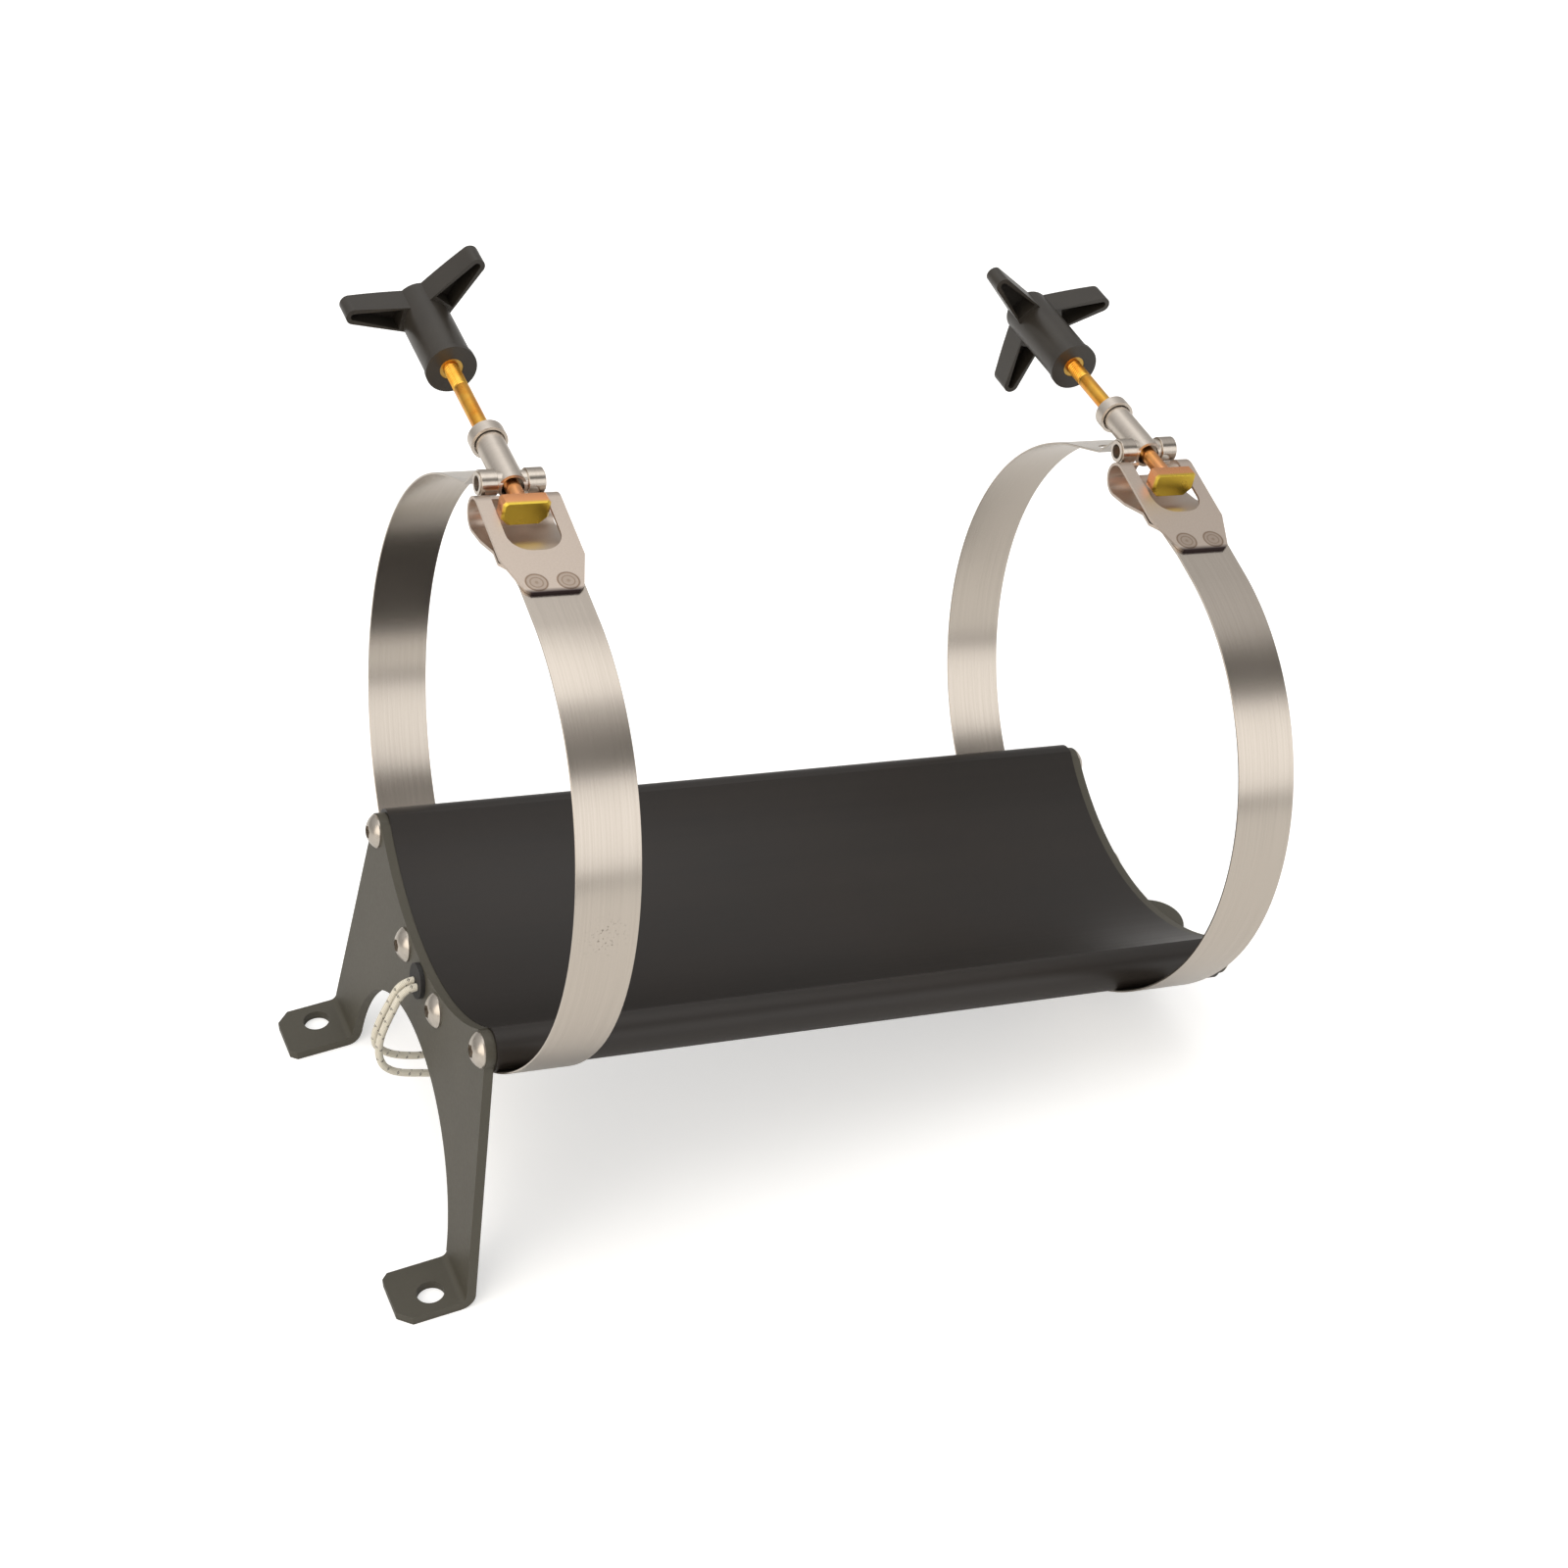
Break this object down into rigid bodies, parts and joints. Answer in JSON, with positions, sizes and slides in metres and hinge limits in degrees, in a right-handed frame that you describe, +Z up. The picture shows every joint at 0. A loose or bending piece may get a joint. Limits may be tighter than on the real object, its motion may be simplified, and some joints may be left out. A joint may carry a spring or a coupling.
{
  "type": "gas cylinder bracket",
  "caption": "Tilted hollow saddle on bent feet, with steel band clamps closed by T-bolt latches, that holds a gas cylinder.",
  "frame": {"origin": "ground point midway between the holes of the two near feet", "axes": "+X along the bracket towards its far, low end, +Y towards the knobs, +Z up"},
  "size_m": [0.4136, 0.2751, 0.3383],
  "materials": {
    "saddle": "satin black anodised",
    "heater_mat": "silicone rubber",
    "end_plate": "satin black",
    "screw": "polished stainless",
    "grommet": "matte",
    "lead": "braided glass fibre",
    "band": "bright rolled stainless",
    "latch": "satin stainless",
    "trunnion": "turned stainless",
    "collar": "turned stainless",
    "t_bolt": "yellow zinc plated",
    "knob": "semi-gloss black",
    "insert": "turned"
  },
  "bodies": {
    "bracket": {"saddle": "saddle", "heater_mat": "heater_mat", "near_end_plate": "end_plate", "far_end_plate": "end_plate", "near_plate_screws": "screw", "far_plate_screws": "screw", "lead_grommet": "grommet", "lead_a": "lead", "lead_b": "lead", "near_band": "band", "near_latch_loop": "latch", "far_band": "band", "far_latch_loop": "latch"},
    "near_trunnion": {"near_trunnion": "trunnion", "near_thrust_collar": "collar"},
    "near_t_bolt": {"near_t_bolt": "t_bolt"},
    "near_knob_insert": {"near_knob_insert": "insert"},
    "near_knob": {"near_knob": "knob"},
    "far_trunnion": {"far_trunnion": "trunnion", "far_thrust_collar": "collar"},
    "far_t_bolt": {"far_t_bolt": "t_bolt"},
    "far_knob_insert": {"far_knob_insert": "insert"},
    "far_knob": {"far_knob": "knob"}
  },
  "joints": [
    {"name": "near_latch_swing", "type": "hinge", "parent": "bracket", "child": "near_trunnion", "pos_m": [0.09165, 0.0246, 0.30421], "axis": [0.9796, 0, -0.2011], "range_deg": [-16.8, 3.2]},
    {"name": "near_bolt_slide", "type": "slide", "parent": "near_trunnion", "child": "near_t_bolt", "axis": [0.0168, 0.9965, 0.082], "range_m": [-0.0066, 0.0061]},
    {"name": "near_knob_travel", "type": "slide", "parent": "near_t_bolt", "child": "near_knob_insert", "axis": [0.0168, 0.9965, 0.082], "range_m": [-0.0127, 0.00508]},
    {"name": "near_knob_turn", "type": "hinge", "parent": "near_knob_insert", "child": "near_knob", "pos_m": [0.09165, 0.0246, 0.30421], "axis": [0.0168, 0.9965, 0.082], "range_deg": [-3600, 1440]},
    {"name": "far_latch_swing", "type": "hinge", "parent": "bracket", "child": "far_trunnion", "pos_m": [0.36318, 0.0246, 0.24847], "axis": [0.9796, 0, -0.2011], "range_deg": [-14, 6]},
    {"name": "far_bolt_slide", "type": "slide", "parent": "far_trunnion", "child": "far_t_bolt", "axis": [0.007, 0.9994, 0.0342], "range_m": [0, 0.0127]},
    {"name": "far_knob_travel", "type": "slide", "parent": "far_t_bolt", "child": "far_knob_insert", "axis": [0.007, 0.9994, 0.0342], "range_m": [-0.01016, 0.00508]},
    {"name": "far_knob_turn", "type": "hinge", "parent": "far_knob_insert", "child": "far_knob", "pos_m": [0.36318, 0.0246, 0.24847], "axis": [0.007, 0.9994, 0.0342], "range_deg": [-2880, 1440]}
  ],
  "couplings": [
    {"joint": "near_knob_travel", "follows": "near_knob_turn", "m_per_rad": 0.00020213},
    {"joint": "far_knob_travel", "follows": "far_knob_turn", "m_per_rad": 0.00020213}
  ]
}
